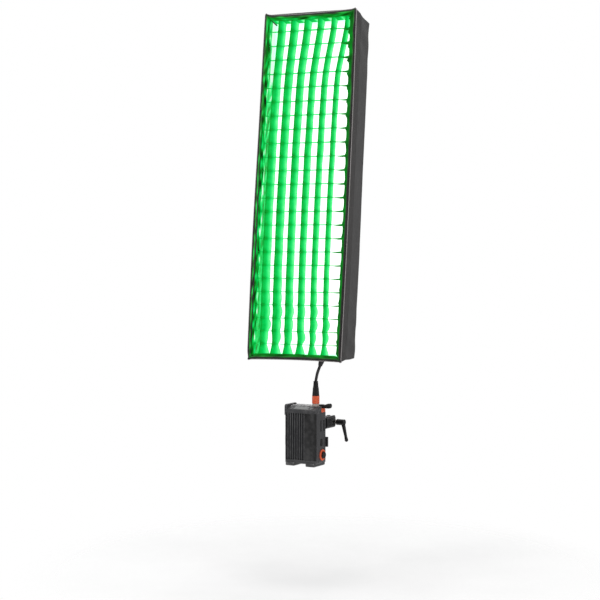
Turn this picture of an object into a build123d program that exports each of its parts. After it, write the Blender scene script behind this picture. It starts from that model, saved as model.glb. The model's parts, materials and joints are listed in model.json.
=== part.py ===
from build123d import *
import math
import os

os.makedirs("parts", exist_ok=True)

# Millimetres and degrees. The origin is the mouth of the stand socket, +Z up the stand,
# and the softbox faces -Y. Three local frames are used: the head's, centred on the tilt
# pivot; the column's, turned with the control box; and the row's own.

# Tilt head
PIVOT_Z = 78
LEAN = 6.95  # the head leans back by this at rest
TUBE_R = 17.5  # the stand column that both mounts fit
STUD_BORE_R = 8.1
STUD_BORE_DEPTH = 48
SOCKET_R = 18
SOCKET_H = 56
LUG_HALF_W = 12
LUG_R = 18
EAR_T = 8
PIVOT_BOLT_R = 5
RUN = 0.05  # running clearance on a radius
STUD_SCREW_Z = 28
STUD_SCREW_R = 4

# Softbox
BOX_W = 350
FRONT_H = 1250
BACK_H = 1214
Y_BACK = -60
Y_FRONT = -200
WALL = 3
BAND_D = 8
LIP = 10
RIM_WIRE = 4
GRID_COLS = 7
GRID_ROWS = 25
GRID_D = 62
GRID_SHIFT = -14  # the inner upright ribbons hang to the left of an even spacing
RIBBON = 1.4
DIFFUSER_Y = -118
DIFFUSER_T = 2
MAT_W = 300
MAT_H = 1200
MAT_T = 5
BACK_T = 2.5
FLAP_OPENING = (230, 1100)
NOTCH = 16.5  # corner cut-outs that let the corner posts through

# Cross frame behind the mat
ARM_W = 22
ARM_T = 5
ARM_ROOT = 38
ARM_TIP = (140, 588)
HUB = 110
HUB_T = 8
Y_ARM = -50
POST_R = 3
POST_X = 164

# Lead
LEAD_D = 10.5
BOOT_AT = (59, -150, -517.4)
LEAD_ROUTE = [
    (48, -144.5, -546),
    (41, -139, -559),
    (31.5, -129, -574),
    (23.5, -118, -590),
    (17.5, -110, -606),
]
LEAD_SPLIT_Z = -570  # the lead bends here when the head tilts
LEAD_GAP = 4
PLUG_AT = (17.5, -110)
PLUG_TOP = -606

# Control box, in the column's frame
YAW = -7
CB_X = (-75, 51)
CB_Y = (-145, -70)
CB_Z = (-892, -722)
FIN_D = 8
FIN_X = 5  # the fins run from the left edge to here
FINS = 9
CAP_H = 25
CAP_RISE = 13  # the upright front of the lid, below its slope
INLET_AT = (-97, -874)
NOSE_R = 12.4
ROCKER_AT = (-101, -828)
ROCKER_PIVOT_X = 46
ROCKER_HEEL_R = 4.5
ROCKER_PLAY = 0.8
SLOT_Y = (-104, -82)
SLOT_Z = -768
CAM_AT = (42.5, -85.5)
CAM_X = (32, 51)
CAM_Y = (-100, -71.5)
CAM_FLOOR = -720
CAM_H = 15
DIAL_X = (-50, 26)
DIAL_Z = -858
DIAL_R = 10
DIAL_SHAFT_R = 3
BUTTON_X = (-24, 0)
BUTTON_Z = -880
BUTTON_R = 4.5
BRACKET_SCREWS = [(-36, -732), (36, -732), (-60, -820), (40, -820)]
SCREW_R = 3

# Pole clamp, in the column's frame
CLAMP_Z = -764
CLAMP_H = 43
CLAMP_X = (-38, 48)
CLAMP_Y = (-52, 24)
PAD_BACK = 24
PAD_TRAVEL = 9
HUB_R = 11


def block(x, y, z):
    """A box between two limits on each axis."""
    size = (x[1] - x[0], y[1] - y[0], z[1] - z[0])
    return Pos((x[0] + x[1]) / 2, (y[0] + y[1]) / 2, (z[0] + z[1]) / 2) * Box(*size)


def rod(x, radius, y=0, z=0):
    """A cylinder along X between two limits."""
    return Pos((x[0] + x[1]) / 2, y, z) * Rot(0, 90, 0) * Cylinder(radius, x[1] - x[0])


def rod_y(y, radius, x=0, z=0):
    """A cylinder along Y between two limits."""
    return Pos(x, (y[0] + y[1]) / 2, z) * Rot(90, 0, 0) * Cylinder(radius, y[1] - y[0])


def rod_z(z, radius, x=0, y=0):
    """A cylinder along Z between two limits."""
    return Pos(x, y, (z[0] + z[1]) / 2) * Cylinder(radius, z[1] - z[0])


def profile_x(points, x):
    """An outline in the YZ plane, extruded between two limits on X."""
    face = make_face(Plane.YZ * Polyline(*points, close=True))
    return Pos(x[0], 0, 0) * extrude(face, amount=x[1] - x[0], dir=(1, 0, 0))


def frame_ring(width, height, border, y):
    """A rectangular ring that faces Y."""
    outer = block((-width / 2, width / 2), y, (-height / 2, height / 2))
    x = width / 2 - border
    z = height / 2 - border
    return outer - block((-x, x), (y[0] - 1, y[1] + 1), (-z, z))


def on_head(shape):
    return Pos(0, 0, PIVOT_Z) * Rot(-LEAN, 0, 0) * shape


def on_column(shape):
    return Rot(0, 0, YAW) * shape


def save(name, shape):
    export_step(shape, f"parts/{name}.step")


def half_height(y):
    """Half the softbox's height at a depth, in the head's frame."""
    share = (Y_BACK - y) / (Y_BACK - Y_FRONT)
    return (BACK_H + (FRONT_H - BACK_H) * share) / 2


CORNERS = [(-1, 1), (1, 1), (-1, -1), (1, -1)]
CORNER_NAMES = ["upper_left", "upper_right", "lower_left", "lower_right"]
Y_LIP = Y_FRONT + BAND_D
Y_MAT = Y_BACK - BACK_T - 0.5
IN_W = BOX_W - 2 * WALL


# Softbox -------------------------------------------------------------------

def skirt_side(side):
    back, front = half_height(Y_BACK), half_height(Y_LIP)
    outline = [(Y_BACK, -back), (Y_BACK, back), (Y_LIP, front), (Y_LIP, -front)]
    x = sorted((side * IN_W / 2, side * BOX_W / 2))
    return profile_x(outline, x)


def skirt_end(end):
    back, front = half_height(Y_BACK), half_height(Y_LIP)
    outline = [(Y_BACK, end * back), (Y_LIP, end * front)]
    outline += [(Y_LIP, end * (front - WALL)), (Y_BACK, end * (back - WALL))]
    return profile_x(outline, (-IN_W / 2, IN_W / 2))


def back_flap():
    """The fabric ring that folds behind the mat's edge."""
    height = 2 * (half_height(Y_BACK - BACK_T) - WALL) - 1
    ring = block((-IN_W / 2, IN_W / 2), (Y_BACK - BACK_T, Y_BACK), (-height / 2, height / 2))
    half = (FLAP_OPENING[0] / 2, FLAP_OPENING[1] / 2)
    ring -= block((-half[0], half[0]), (Y_BACK - BACK_T - 1, Y_BACK + 1), (-half[1], half[1]))
    for sx, sz in CORNERS:
        ring -= rod_y((-80, -40), 3.3, sx * ARM_TIP[0], sz * ARM_TIP[1])
        ring -= rod_y((-80, -40), POST_R + 1.5, sx * POST_X, sz * post_z(Y_BACK))
    return ring


def front_band():
    """The hem round the open front, with a channel for the rim wire."""
    ring = frame_ring(BOX_W, FRONT_H - 2, LIP, (Y_FRONT, Y_LIP))
    return ring - rim_wire(RIM_WIRE + 0.2)


def rim_wire(thick=RIM_WIRE):
    centre = (Y_FRONT + Y_LIP) / 2
    inset = (LIP - thick) / 2
    y = (centre - thick / 2, centre + thick / 2)
    return frame_ring(BOX_W - 2 * inset, FRONT_H - 2 - 2 * inset, thick, y)


def corner_notches(half_w, half_h, y):
    """The four square cut-outs that clear the corner posts."""
    cut = []
    for sx, sz in CORNERS:
        x = sorted((sx * (half_w - NOTCH), sx * (half_w + 5)))
        z = sorted((sz * (half_h - NOTCH), sz * (half_h + 5)))
        cut.append(block(x, y, z))
    return cut


def grid():
    """Crossed ribbons inside a border strap."""
    y = (Y_LIP + 2, Y_LIP + 2 + GRID_D)
    width = IN_W - 1
    height = 2 * (half_height(y[1]) - WALL) - 1
    shape = frame_ring(width, height, 2, y)
    for i in range(1, GRID_COLS):
        x = -width / 2 + i * width / GRID_COLS + GRID_SHIFT
        shape += block((x - RIBBON / 2, x + RIBBON / 2), y, (-height / 2 + 1, height / 2 - 1))
    for i in range(1, GRID_ROWS):
        z = -height / 2 + i * height / GRID_ROWS
        shape += block((-width / 2 + 1, width / 2 - 1), y, (z - RIBBON / 2, z + RIBBON / 2))
    for cut in corner_notches(width / 2, height / 2, (y[0] - 1, y[1] + 1)):
        shape -= cut
    return shape


def diffuser():
    y = (DIFFUSER_Y - DIFFUSER_T, DIFFUSER_Y)
    half_w = IN_W / 2 - 0.5
    half_h = half_height(DIFFUSER_Y) - WALL - 0.5
    shape = block((-half_w, half_w), y, (-half_h, half_h))
    for cut in corner_notches(half_w, half_h, (y[0] - 1, y[1] + 1)):
        shape -= cut
    return shape


def led_mat():
    """The lamp: a flexible laminate with the emitters on its face."""
    y = (Y_MAT - MAT_T, Y_MAT)
    shape = block((-MAT_W / 2, MAT_W / 2), y, (-MAT_H / 2, MAT_H / 2))
    for sx, sz in CORNERS:
        shape -= rod_y((-80, -50), 3.3, sx * ARM_TIP[0], sz * ARM_TIP[1])
    return shape


def mat_terminal():
    """The moulded block on the mat where the lead comes in."""
    y = (Y_MAT - MAT_T - 26, Y_MAT - MAT_T)
    return block((41, 77), y, (-592, -570))


# Cross frame ---------------------------------------------------------------

def post_z(y):
    return half_height(y) - 11


def post(sx, sz):
    """A stiff rod from a corner block to the front hem's corner."""
    back = Vector(sx * POST_X, Y_BACK + 3, sz * post_z(Y_BACK + 3))
    front = Vector(sx * POST_X, Y_LIP + 0.5, sz * post_z(Y_LIP + 0.5))
    plane = Plane(origin=back, z_dir=front - back)
    return extrude(plane * Circle(POST_R), amount=(front - back).length)


def corner_block(sx, sz):
    """Holds one arm's tip, its pin through the mat, and the corner post's foot."""
    y = (Y_ARM - ARM_T - 4.5, Y_ARM)
    x = sorted((sx * (ARM_TIP[0] - 13), sx * (POST_X + 7)))
    z = sorted((sz * (ARM_TIP[1] - 11), sz * (post_z(Y_BACK) + 7)))
    shape = block(x, y, z) - arm(sx, sz, 0.1)
    shape += rod_y((Y_MAT - MAT_T - 5, Y_ARM - ARM_T), 3, sx * ARM_TIP[0], sz * ARM_TIP[1])
    return shape - post(sx, sz)


def arm(sx, sz, grow=0.0):
    """A flat bar from the hub to one corner."""
    root = (sx * ARM_ROOT, sz * ARM_ROOT)
    tip = (sx * ARM_TIP[0], sz * ARM_TIP[1])
    length = math.dist(root, tip)
    turn = math.degrees(math.atan2(tip[1] - root[1], tip[0] - root[0]))
    bar = SlotCenterToCenter(length, ARM_W + 2 * grow)
    face = Plane.XZ * Pos((root[0] + tip[0]) / 2, (root[1] + tip[1]) / 2) * Rot(0, 0, turn) * bar
    solid = extrude(face, amount=ARM_T + grow)
    return Pos(0, Y_ARM, 0) * solid


def arm_with_hole(sx, sz):
    return arm(sx, sz) - rod_y((-70, -40), 4 + RUN, sx * ARM_ROOT, sz * ARM_ROOT)


def arm_bolt(sx, sz):
    x, z = sx * ARM_ROOT, sz * ARM_ROOT
    shape = rod_y((Y_ARM - ARM_T - 4, Y_ARM - ARM_T), 7, x, z)
    shape += rod_y((Y_ARM - ARM_T, Y_ARM + HUB_T + 5), 4, x, z)
    return shape + rod_y((Y_ARM + HUB_T, Y_ARM + HUB_T + 5), 6.5, x, z)


def hub_plate():
    face = Plane.XZ * RectangleRounded(HUB, HUB, 16)
    shape = Pos(0, Y_ARM + HUB_T, 0) * extrude(face, amount=HUB_T)
    for sx, sz in CORNERS:
        shape -= rod_y((-60, -30), 4 + RUN, sx * ARM_ROOT, sz * ARM_ROOT)
        shape -= rod_y((-60, -30), 3 + RUN, sx * 20, sz * 20)
    return shape


def hub_screw(sx, sz):
    shape = rod_y((Y_ARM, Y_ARM + HUB_T + 6), 3, sx * 20, sz * 20)
    head = rod_y((Y_ARM + HUB_T + 6, Y_ARM + HUB_T + 11), 5, sx * 20, sz * 20)
    socket = rod_y((Y_ARM + HUB_T + 8, Y_ARM + HUB_T + 12), 2.4, sx * 20, sz * 20)
    return shape + head - socket


def tongue():
    """The lug that turns between the yoke's ears."""
    rear = Y_ARM + HUB_T
    shape = block((-30, 30), (rear, rear + 6), (-30, 30))
    shape += block((-LUG_HALF_W, LUG_HALF_W), (rear + 6, 0), (-LUG_R, LUG_R))
    shape += rod((-LUG_HALF_W, LUG_HALF_W), LUG_R)
    for sx, sz in CORNERS:
        shape -= rod_y((-60, -30), 3 + RUN, sx * 20, sz * 20)
    return shape - rod((-30, 30), PIVOT_BOLT_R + RUN)


# Tilt bracket --------------------------------------------------------------

EAR_X = (LUG_HALF_W + RUN, LUG_HALF_W + RUN + EAR_T)


def receiver():
    """The stand socket and the yoke, in one casting."""
    shape = rod_z((0, SOCKET_H), SOCKET_R)
    shape += block((-EAR_X[1], EAR_X[1]), (-16, 16), (46, PIVOT_Z - 20))
    for side in (-1, 1):
        x = sorted((side * EAR_X[0], side * EAR_X[1]))
        shape += block(x, (-16, 16), (PIVOT_Z - 21, PIVOT_Z))
        shape += rod(x, 16, 0, PIVOT_Z)
    shape += rod_y((0, 24), 9, 0, STUD_SCREW_Z)
    shape -= rod_z((-1, STUD_BORE_DEPTH), STUD_BORE_R)
    shape -= rod_y((0, 30), STUD_SCREW_R + RUN, 0, STUD_SCREW_Z)
    return shape - rod((-30, 30), PIVOT_BOLT_R + RUN, 0, PIVOT_Z)


def tilt_bolt():
    head = Plane.YZ * RegularPolygon(8.5, 6)
    shape = Pos(-EAR_X[1] - 7, 0, 0) * extrude(head, amount=7)
    return Pos(0, 0, PIVOT_Z) * (shape + rod((-EAR_X[1], 33), PIVOT_BOLT_R))


def ratchet_insert(start, end, core):
    """The toothed sleeve that a ratchet handle grips."""
    shape = rod((start, start + 2.9), 10) + rod((start + 2.9, end), 7.5)
    for i in range(12):
        shape -= Rot(30 * i, 0, 0) * block((start + 3, end + 1), (-0.8, 0.8), (7, 8))
    return shape - rod((start - 1, end + 1), core)


def ratchet_handle(start, end, bore_end, splay):
    """A hub with a lever that hangs down and leans outwards."""
    hub = rod((start, end), HUB_R)
    hub = fillet(hub.edges().sort_by(Axis.X)[-1], 3)
    hub = hub - rod((start - 1, bore_end), 7.5 + RUN)
    root = Pos(end - 8, 0, 0) * Rot(0, -splay, 0)
    lever = Pos(0, 0, -30) * Cone(5.2, 7.2, 44)
    grip = Pos(0, 0, -59) * Cone(6.6, 5.2, 14)
    tip = Pos(0, 0, -66) * Sphere(6.6)
    return hub + root * (lever + grip + tip)


def tilt_nut():
    return Pos(0, 0, PIVOT_Z) * ratchet_insert(EAR_X[1] + 0.1, 36, PIVOT_BOLT_R + RUN)


def tilt_handle():
    return Pos(0, 0, PIVOT_Z) * ratchet_handle(EAR_X[1] + 3.2, 46, 36.5, 12)


def stud_screw():
    return rod_y((STUD_BORE_R, 38), STUD_SCREW_R, 0, STUD_SCREW_Z)


def stud_knob():
    """A lobed knob pressed on the locking screw."""
    shape = rod_y((29, 46), 15, 0, STUD_SCREW_Z)
    for i in range(6):
        a = math.radians(60 * i)
        x, z = 19 * math.cos(a), STUD_SCREW_Z + 19 * math.sin(a)
        shape -= rod_y((28, 47), 7, x, z)
    return shape - rod_y((28, 38), STUD_SCREW_R + RUN, 0, STUD_SCREW_Z)


# Lead ----------------------------------------------------------------------

def corner_radii(points):
    """Each corner's arc: as large as its two runs allow."""
    radii = []
    for before, here, after in zip(points, points[1:], points[2:]):
        first, second = Vector(*here) - Vector(*before), Vector(*after) - Vector(*here)
        half_turn = math.radians(first.get_angle(second) / 2)
        radii.append(0.45 * min(first.length, second.length) / math.tan(half_turn))
    return radii


def lead_tube():
    radii = corner_radii(LEAD_ROUTE)
    path = FilletPolyline(*LEAD_ROUTE, radius=radii)
    tube = sweep(Plane(path @ 0, z_dir=path % 0) * Circle(LEAD_D / 2), path=path)
    print("lead radii", [round(r) for r in radii], "length", round(path.length, 1))
    print("volume", round(tube.volume), "against", round(path.length * math.pi * LEAD_D**2 / 4))
    return tube


def lead_halves():
    """The lead above and below the plane where it bends as the head tilts."""
    tube = lead_tube()
    wide = ((-100, 200), (-300, 0))
    upper = tube & block(*wide, (LEAD_SPLIT_Z + LEAD_GAP / 2, -500))
    lower = tube & block(*wide, (PLUG_TOP, LEAD_SPLIT_Z - LEAD_GAP / 2))
    return upper, lower


def lead_boot():
    """A flange under the bottom wall and a cone towards the lead, in the row's frame."""
    x, y, z = BOOT_AT
    neck = rod_z((z - 2, z + 12), 9, x, y)
    flange = rod_z((z - 4.5, z - 1.5), 16, x, y)
    start, end = Vector(x, y, z - 3), Vector(*LEAD_ROUTE[0])
    along = Plane(origin=start, z_dir=end - start)
    face = Plane(origin=end, z_dir=end - start, x_dir=along.x_dir)
    cone = loft([along * Circle(12), face * Circle(7.2)])
    cone &= block((x - 40, x + 40), (y - 40, y + 40), (z - 60, z - 3))
    return neck + flange + cone - lead_start_clearance()


def lead_start_clearance():
    """Nothing of the boot reaches past the face that the lead starts on."""
    start, second = Vector(*LEAD_ROUTE[0]), Vector(*LEAD_ROUTE[1])
    return extrude(Plane(origin=start, z_dir=second - start) * Circle(20), amount=12)


def plug_shell():
    """The lead's plug: a tapered body and a slim sleeve."""
    x, y = PLUG_AT
    body = Pos(x, y, PLUG_TOP - 38) * Cone(13, 10.6, 30)
    sleeve = Pos(x, y, PLUG_TOP - 11.5) * Cone(9.8, 8.2, 23)
    for i in range(4):
        groove = rod_z((PLUG_TOP - 6.5 - 4 * i, PLUG_TOP - 5 - 4 * i), 12, x, y)
        groove -= rod_z((PLUG_TOP - 30, PLUG_TOP), 7.8 + 0.35 * i, x, y)
        sleeve -= groove
    return body + sleeve + rod_z((PLUG_TOP - 82, PLUG_TOP - 53), 10, x, y)


def coupling_ring():
    x, y = PLUG_AT
    ring = rod_z((PLUG_TOP - 81, PLUG_TOP - 53.1), 13.5, x, y)
    for i in range(16):
        a = math.radians(22.5 * i)
        rim = (x + 13.9 * math.cos(a), y + 13.9 * math.sin(a))
        ring -= rod_z((PLUG_TOP - 79, PLUG_TOP - 68), 1, *rim)
    return ring - rod_z((PLUG_TOP - 90, PLUG_TOP), 10 + RUN, x, y)


def lead_socket():
    """The panel socket under the plug."""
    x, y = PLUG_AT
    floor = CB_Z[1] + CAP_H
    return rod_z((floor, PLUG_TOP - 82), 12.5, x, y) + rod_z((floor - 8, floor), 9, x, y)


# Control box ---------------------------------------------------------------

def strap_slots(x):
    cuts = []
    for y in SLOT_Y:
        cuts.append(block(x, (y - 3.5, y + 3.5), (SLOT_Z - 20, SLOT_Z + 20)))
    return cuts


def box_shell():
    """The extruded housing, open at both ends."""
    outer = block((CB_X[0], CB_X[1] - 2), (CB_Y[0] + FIN_D, CB_Y[1] - 2), CB_Z)
    inner = block((CB_X[0] + 3, CB_X[1] - 5), (CB_Y[0] + FIN_D + 3, CB_Y[1] - 5), CB_Z)
    shape = outer - inner
    shape += block((CB_X[0] - 5, CB_X[0]), (CB_Y[0] + FIN_D, CB_Y[0] + 40), (-840, -806))
    shape += block((CB_X[0] - 3, CB_X[0]), (CB_Y[0] + FIN_D, CB_Y[0] + 30), (-881, -864))
    for cut in strap_slots((CB_X[1] - 6, CB_X[1])):
        shape -= cut
    shape -= rod((CB_X[1] - 6, CB_X[1]), 17, *INLET_AT)
    shape -= block((CB_X[1] - 6, CB_X[1]), *rocker_window(ROCKER_PLAY))
    shape -= block((-64, 40), (CB_Y[1] - 6, CB_Y[1]), (CB_Z[0] + 4, -844))
    return shape - screw_holes((CB_Y[1] - 10, CB_Y[1]))


def screw_holes(y):
    return Compound([rod_y(y, SCREW_R + RUN, x, z) for x, z in BRACKET_SCREWS])


def rocker_window(grow):
    y, z = ROCKER_AT
    return (y - 7 - grow, y + 7 + grow), (z - 12 - grow, z + 12 + grow)


def front_fins():
    """The heat sink: a plate with upright fins."""
    y0, y1 = CB_Y[0], CB_Y[0] + FIN_D
    shape = block((CB_X[0], FIN_X), (y1 - 3, y1), CB_Z)
    pitch = (FIN_X - CB_X[0] - 3.4) / (FINS - 1)
    for i in range(FINS):
        x = CB_X[0] + i * pitch
        shape += block((x, x + 3.4), (y0, y1 - 3), CB_Z)
    return shape


def front_trim():
    """The plain strip beside the fins, bevelled at the box's corner."""
    y0, y1 = CB_Y[0], CB_Y[0] + FIN_D
    edge = CB_X[1]
    outline = [(FIN_X, y1), (FIN_X, y0), (edge - 11, y0), (edge, y1 - 3), (edge, y1)]
    face = make_face(Polyline(*outline, close=True))
    return Pos(0, 0, CB_Z[0]) * extrude(face, amount=CB_Z[1] - CB_Z[0], dir=(0, 0, 1))


def side_plate():
    x = (CB_X[1] - 2, CB_X[1])
    shape = block(x, (CB_Y[0] + FIN_D, CB_Y[1]), CB_Z)
    for cut in strap_slots((x[0] - 1, x[1] + 1)):
        shape -= cut
    shape -= rod((x[0] - 1, x[1] + 1), 17, *INLET_AT)
    return shape - block((x[0] - 1, x[1] + 1), *rocker_window(ROCKER_PLAY))


def rear_panel():
    shape = block((CB_X[0], CB_X[1] - 2), (CB_Y[1] - 2, CB_Y[1]), CB_Z)
    for x in DIAL_X:
        shape -= rod_y((CB_Y[1] - 3, CB_Y[1] + 1), DIAL_SHAFT_R + RUN, x, DIAL_Z)
    for x in BUTTON_X:
        shape -= rod_y((CB_Y[1] - 3, CB_Y[1] + 1), BUTTON_R + RUN, x, BUTTON_Z)
    return shape - screw_holes((CB_Y[1] - 3, CB_Y[1] + 1))


def top_cap():
    """The sloping lid, with a display recess, a cheek at its left end and a step for the cam."""
    top = CB_Z[1] + CAP_H
    outline = [(CB_Y[0], CB_Z[1]), (CB_Y[0], CB_Z[1] + CAP_RISE), (CB_Y[0] + 27, top)]
    outline += [(CB_Y[1], top), (CB_Y[1], CB_Z[1])]
    shape = profile_x(outline, CB_X)
    cheek = block((CB_X[0] - 4, CB_X[0] + 7), (CB_Y[0], CB_Y[1] - 4), (CB_Z[1] - 9, top + 5))
    front_top = cheek.edges().group_by(Axis.Z)[-1].sort_by(Axis.Y)[0]
    cheek = fillet(front_top, 9)
    cheek = chamfer(cheek.edges().group_by(Axis.Z)[-1], 1.5)
    shape += cheek - block((CB_X[0], CB_X[1]), (-200, 0), (CB_Z[0], CB_Z[1]))
    shape -= display_place() * Box(57, 20, 2.4)
    shape -= block((CAM_X[0] - 0.5, CB_X[1] + 1), (CAM_Y[0] - 0.5, CB_Y[1] + 1), (CAM_FLOOR, top + 1))
    plug = Rot(0, 0, -YAW) * rod_z((top - 8, top + 1), 9, *PLUG_AT)
    return shape - plug


def display_place():
    """On the lid's slope: X across, Z out of the face."""
    slope = math.degrees(math.atan2(CAP_H - CAP_RISE, 27))
    return Pos(-14, CB_Y[0] + 13.5, CB_Z[1] + (CAP_H + CAP_RISE) / 2) * Rot(slope, 0, 0)


def display():
    return display_place() * Pos(0, 0, -0.6) * Box(56.8, 19.8, 1.2)


def bottom_cap():
    shape = block(CB_X, CB_Y, (CB_Z[0] - 13, CB_Z[0]))
    shape = chamfer(shape.edges().group_by(Axis.Z)[0], 3)
    for x in ((CB_X[0] + 3, CB_X[0] + 39), (CB_X[1] - 40, CB_X[1] - 4)):
        foot = block(x, (CB_Y[0] - 3, CB_Y[1] + 2), (CB_Z[0] - 22, CB_Z[0] - 9))
        shape += chamfer(foot.edges().group_by(Axis.Z)[0], 2)
    return shape


def control_board():
    return block((-64, 40), (-132, -130), (-880, -724))


def power_supply():
    shape = block((-62, 30), (-126, -80), (-812, -728))
    for i in range(7):
        z = -806 + 12 * i
        shape += block((-60, 28), (-128, -126), (z, z + 3))
    return shape


def fan_frame():
    y = (-122, -98)
    return block((-50, 10), y, (-884, -824)) - rod_y((y[0] - 1, y[1] + 1), 28, -20, -854)


def fan_rotor():
    """A hub with seven blades."""
    shape = rod_y((-120, -100), 11, 0, 0)
    for i in range(7):
        blade = Pos(0, -110, 18) * Rot(0, 0, 35) * Box(1.6, 18, 17)
        shape += Rot(0, 360 * i / 7, 0) * blade
    return Pos(-20, 0, -854) * shape


def rocker_switch():
    """Pivots on its round heel, about an axis along Y, in the side wall."""
    y, z = rocker_window(0)
    outline = [(44, z[0] + 1), (44, z[1] - 1), (50.6, z[1] - 1), (51.6, ROCKER_AT[1])]
    outline += [(53.6, z[0] + 1)]
    face = make_face(Plane.XZ * Polyline(*outline, close=True))
    shape = Pos(0, y[1], 0) * extrude(face, amount=y[1] - y[0], dir=(0, -1, 0))
    return shape + rod_y(y, ROCKER_HEEL_R, ROCKER_PIVOT_X, ROCKER_AT[1])


def inlet_collar():
    y, z = INLET_AT
    x = CB_X[1]
    shape = rod((x, x + 5), 20, y, z) + rod((x - 5, x), 17, y, z)
    shape -= rod((x - 6, x + 6), NOSE_R + 0.1, y, z)
    return chamfer(shape.edges().group_by(Axis.X)[-1], 1.2)


def inlet_core():
    """The mains inlet's nose, which stands out through the collar, with three contact slots."""
    y, z = INLET_AT
    x = CB_X[1]
    shape = rod((x - 20, x + 11), NOSE_R, y, z)
    shape = fillet(shape.edges().sort_by(Axis.X)[-1], 2.5)
    for i in range(3):
        a = math.radians(90 + 120 * i)
        dy, dz = 6 * math.cos(a), 6 * math.sin(a)
        shape -= block((x + 3, x + 12), (y + dy - 2.2, y + dy + 2.2), (z + dz - 1, z + dz + 1))
    return shape


def dial(x):
    """A knurled knob on the rear panel, with its shaft."""
    y = CB_Y[1]
    shape = rod_y((y + 0.5, y + 13), DIAL_R, x, DIAL_Z)
    shape += rod_y((y - 9, y + 0.5), DIAL_SHAFT_R, x, DIAL_Z)
    for i in range(20):
        a = math.radians(18 * i)
        rim = (x + DIAL_R * math.cos(a), DIAL_Z + DIAL_R * math.sin(a))
        shape -= rod_y((y + 3, y + 14), 0.8, *rim)
    return shape


def button(x):
    y = CB_Y[1]
    cap = rod_y((y - 4, y + 2.5), BUTTON_R, x, BUTTON_Z)
    return cap + rod_y((y - 5.5, y - 4), BUTTON_R + 1, x, BUTTON_Z)


def cam_base():
    """The orange block that fills the lid's corner, under the release lever."""
    shape = block(CAM_X, CAM_Y, (CAM_FLOOR, CAM_FLOOR + 13))
    shape = chamfer(shape.edges().group_by(Axis.Z)[-1], 2)
    return shape + rod_z((CAM_FLOOR + 5, CAM_FLOOR + CAM_H), 10, *CAM_AT)


def cam_lever():
    """A finger lever that reaches out past the box's side."""
    x, y = CAM_AT
    z = CAM_FLOOR + CAM_H + 0.1
    shape = rod_z((z, z + 13), 10, x, y)
    arm_outline = [(0, z), (0, z + 13), (16, z + 12), (28, z + 17), (37, z + 17), (40, z + 12)]
    arm_outline += [(39, z + 3), (34, z)]
    face = make_face(Plane.XZ * Polyline(*arm_outline, close=True))
    bar = Pos(x, y + 7, 0) * extrude(face, amount=14, dir=(0, -1, 0))
    return shape + chamfer(bar.edges().filter_by(Axis.Y).sort_by(Axis.X)[-3:], 1.5)


# Pole clamp ----------------------------------------------------------------

def clamp_body():
    """A C-shaped jaw, open at the back, with the bracket's neck in front."""
    z = (CLAMP_Z - CLAMP_H / 2, CLAMP_Z + CLAMP_H / 2)
    shape = block(CLAMP_X, CLAMP_Y, z)
    shape = chamfer(shape.edges().filter_by(Axis.Y), 7)
    shape -= Pos(CLAMP_X[1], CLAMP_Y[1], CLAMP_Z) * Rot(0, 0, 45) * Box(16, 16, CLAMP_H + 2)
    shape += block((-20, 20), (CLAMP_Y[0] - 10, CLAMP_Y[0]), (z[0] + 6, z[1] - 6))
    wide = (z[0] - 1, z[1] + 1)
    shape -= rod_z(wide, TUBE_R)
    shape -= block((-TUBE_R, PAD_BACK + PAD_TRAVEL + 0.5), (0, CLAMP_Y[1] + 1), wide)
    shape -= block((0, PAD_BACK + PAD_TRAVEL + 0.5), (-TUBE_R, 1), wide)
    return shape - rod((30, 60), PIVOT_BOLT_R + RUN, 0, CLAMP_Z)


def clamp_pad():
    """The moving jaw, hollowed to the column's radius."""
    z = (CLAMP_Z - CLAMP_H / 2, CLAMP_Z + CLAMP_H / 2)
    shape = block((11, PAD_BACK), (-TUBE_R + 0.5, TUBE_R - 0.5), z)
    return shape - rod_z((z[0] - 1, z[1] + 1), TUBE_R)


def clamp_screw():
    """The screw, a stop collar and the toothed end that the handle grips."""
    shape = rod((PAD_BACK + 0.05, 62), PIVOT_BOLT_R, 0, 0)
    shape += rod((60, 80), 7.5)
    shape += rod((58, 62), 10.5)
    return Pos(0, 0, CLAMP_Z) * shape


def clamp_handle():
    return Pos(0, 0, CLAMP_Z) * ratchet_handle(62.1, 93, 80.5, 13)


def bracket_plate():
    """Screwed to the box's back, with a cross bar that reaches past both sides."""
    y = (CB_Y[1], CB_Y[1] + 8)
    shape = block((-45, 45), y, (-800, -722))
    shape += block((CB_X[0] - 9, CB_X[1] + 7), y, (-848, -812))
    shape += block((-30, 30), y, (-816, -798))
    return shape - screw_holes((y[0] - 1, y[1] + 1))


def bracket_screw(x, z):
    y = CB_Y[1] + 8
    shape = rod_y((y - 13, y), SCREW_R, x, z) + rod_y((y, y + 4), 5, x, z)
    return shape - rod_y((y + 2, y + 5), 2.4, x, z)


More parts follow.
